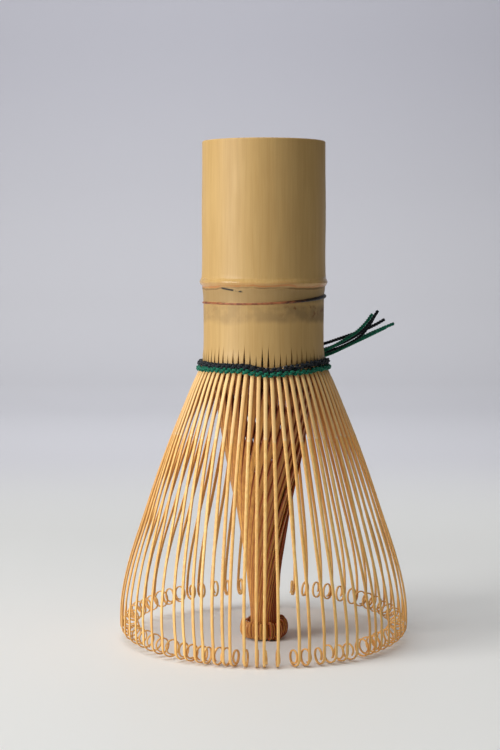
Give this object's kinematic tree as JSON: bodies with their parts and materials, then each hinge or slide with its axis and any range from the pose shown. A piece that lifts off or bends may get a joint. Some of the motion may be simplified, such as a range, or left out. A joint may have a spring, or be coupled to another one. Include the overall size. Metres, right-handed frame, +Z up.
{
  "type": "bamboo tea whisk",
  "caption": "Bamboo tea whisk: flat-topped culm handle with node, split into an outer bell of curled tines and a twisted inner bundle, bound with black and green thread.",
  "frame": {"origin": "on the floor that the tips stand on, on the axis of the culm", "axes": "+Z up along the culm towards the flat end of the handle, -Y to the front, +X to the side where the thread ends stick out"},
  "size_m": [0.0642, 0.0642, 0.11],
  "materials": {
    "bamboo_skin": "satin",
    "bamboo_tines": "satin",
    "bamboo_inner": "matte",
    "black_cotton": "matte",
    "green_cotton": "matte"
  },
  "bodies": {
    "handle": {"handle_culm": "bamboo_skin", "black_thread": "black_cotton", "green_thread": "green_cotton", "black_knot": "black_cotton", "green_knot": "green_cotton", "black_tail_1": "black_cotton", "black_tail_2": "black_cotton", "black_tail_3": "black_cotton", "green_tail_1": "green_cotton", "green_tail_2": "green_cotton", "green_tail_3": "green_cotton"},
    "outer_segment_01": {"outer_tines_01": "bamboo_tines"},
    "outer_segment_02": {"outer_tines_02": "bamboo_tines"},
    "outer_segment_03": {"outer_tines_03": "bamboo_tines"},
    "outer_segment_04": {"outer_tines_04": "bamboo_tines"},
    "outer_segment_05": {"outer_tines_05": "bamboo_tines"},
    "outer_segment_06": {"outer_tines_06": "bamboo_tines"},
    "outer_segment_07": {"outer_tines_07": "bamboo_tines"},
    "outer_segment_08": {"outer_tines_08": "bamboo_tines"},
    "outer_segment_09": {"outer_tines_09": "bamboo_tines"},
    "outer_segment_10": {"outer_tines_10": "bamboo_tines"},
    "outer_segment_11": {"outer_tines_11": "bamboo_tines"},
    "outer_segment_12": {"outer_tines_12": "bamboo_tines"},
    "outer_segment_13": {"outer_tines_13": "bamboo_tines"},
    "outer_segment_14": {"outer_tines_14": "bamboo_tines"},
    "outer_segment_15": {"outer_tines_15": "bamboo_tines"},
    "outer_segment_16": {"outer_tines_16": "bamboo_tines"},
    "inner_bundle": {"inner_tines_01": "bamboo_inner", "inner_tines_02": "bamboo_inner", "inner_tines_03": "bamboo_inner", "inner_tines_04": "bamboo_inner", "inner_tines_05": "bamboo_inner", "inner_tines_06": "bamboo_inner", "inner_tines_07": "bamboo_inner", "inner_tines_08": "bamboo_inner", "inner_tines_09": "bamboo_inner", "inner_tines_10": "bamboo_inner", "inner_tines_11": "bamboo_inner", "inner_tines_12": "bamboo_inner", "inner_tines_13": "bamboo_inner", "inner_tines_14": "bamboo_inner", "inner_tines_15": "bamboo_inner", "inner_tines_16": "bamboo_inner"}
  },
  "joints": [
    {"name": "outer_segment_01_flex", "type": "hinge", "parent": "handle", "child": "outer_segment_01", "pos_m": [0.00487, -0.01286, 0.0605], "axis": [-0.9351, -0.3543, 0], "range_deg": [-4, 6], "stiffness_Nm_per_rad": 0.0075},
    {"name": "outer_segment_02_flex", "type": "hinge", "parent": "handle", "child": "outer_segment_02", "pos_m": [0.00942, -0.01001, 0.0605], "axis": [-0.7284, -0.6852, 0], "range_deg": [-4, 6], "stiffness_Nm_per_rad": 0.0075},
    {"name": "outer_segment_03_flex", "type": "hinge", "parent": "handle", "child": "outer_segment_03", "pos_m": [0.01254, -0.00565, 0.0605], "axis": [-0.4107, -0.9118, 0], "range_deg": [-4, 6], "stiffness_Nm_per_rad": 0.0075},
    {"name": "outer_segment_04_flex", "type": "hinge", "parent": "handle", "child": "outer_segment_04", "pos_m": [0.01374, -0.00042, 0.0605], "axis": [-0.0305, -0.9995, 0], "range_deg": [-4, 6], "stiffness_Nm_per_rad": 0.0075},
    {"name": "outer_segment_05_flex", "type": "hinge", "parent": "handle", "child": "outer_segment_05", "pos_m": [0.01286, 0.00487, 0.0605], "axis": [0.3543, -0.9351, 0], "range_deg": [-4, 6], "stiffness_Nm_per_rad": 0.0075},
    {"name": "outer_segment_06_flex", "type": "hinge", "parent": "handle", "child": "outer_segment_06", "pos_m": [0.01001, 0.00942, 0.0605], "axis": [0.6852, -0.7284, 0], "range_deg": [-4, 6], "stiffness_Nm_per_rad": 0.0075},
    {"name": "outer_segment_07_flex", "type": "hinge", "parent": "handle", "child": "outer_segment_07", "pos_m": [0.00565, 0.01254, 0.0605], "axis": [0.9118, -0.4107, 0], "range_deg": [-4, 6], "stiffness_Nm_per_rad": 0.0075},
    {"name": "outer_segment_08_flex", "type": "hinge", "parent": "handle", "child": "outer_segment_08", "pos_m": [0.00042, 0.01374, 0.0605], "axis": [0.9995, -0.0305, 0], "range_deg": [-4, 6], "stiffness_Nm_per_rad": 0.0075},
    {"name": "outer_segment_09_flex", "type": "hinge", "parent": "handle", "child": "outer_segment_09", "pos_m": [-0.00487, 0.01286, 0.0605], "axis": [0.9351, 0.3543, 0], "range_deg": [-4, 6], "stiffness_Nm_per_rad": 0.0075},
    {"name": "outer_segment_10_flex", "type": "hinge", "parent": "handle", "child": "outer_segment_10", "pos_m": [-0.00942, 0.01001, 0.0605], "axis": [0.7284, 0.6852, 0], "range_deg": [-4, 6], "stiffness_Nm_per_rad": 0.0075},
    {"name": "outer_segment_11_flex", "type": "hinge", "parent": "handle", "child": "outer_segment_11", "pos_m": [-0.01254, 0.00565, 0.0605], "axis": [0.4107, 0.9118, 0], "range_deg": [-4, 6], "stiffness_Nm_per_rad": 0.0075},
    {"name": "outer_segment_12_flex", "type": "hinge", "parent": "handle", "child": "outer_segment_12", "pos_m": [-0.01374, 0.00042, 0.0605], "axis": [0.0305, 0.9995, 0], "range_deg": [-4, 6], "stiffness_Nm_per_rad": 0.0075},
    {"name": "outer_segment_13_flex", "type": "hinge", "parent": "handle", "child": "outer_segment_13", "pos_m": [-0.01286, -0.00487, 0.0605], "axis": [-0.3543, 0.9351, 0], "range_deg": [-4, 6], "stiffness_Nm_per_rad": 0.0075},
    {"name": "outer_segment_14_flex", "type": "hinge", "parent": "handle", "child": "outer_segment_14", "pos_m": [-0.01001, -0.00942, 0.0605], "axis": [-0.6852, 0.7284, 0], "range_deg": [-4, 6], "stiffness_Nm_per_rad": 0.0075},
    {"name": "outer_segment_15_flex", "type": "hinge", "parent": "handle", "child": "outer_segment_15", "pos_m": [-0.00565, -0.01254, 0.0605], "axis": [-0.9118, 0.4107, 0], "range_deg": [-4, 6], "stiffness_Nm_per_rad": 0.0075},
    {"name": "outer_segment_16_flex", "type": "hinge", "parent": "handle", "child": "outer_segment_16", "pos_m": [-0.00042, -0.01374, 0.0605], "axis": [-0.9995, 0.0305, 0], "range_deg": [-4, 6], "stiffness_Nm_per_rad": 0.0075},
    {"name": "inner_bundle_sway", "type": "hinge", "parent": "handle", "child": "inner_bundle", "pos_m": [0, 0, 0.061], "axis": [0, 1, 0], "range_deg": [-3, 3], "stiffness_Nm_per_rad": 0.043}
  ]
}
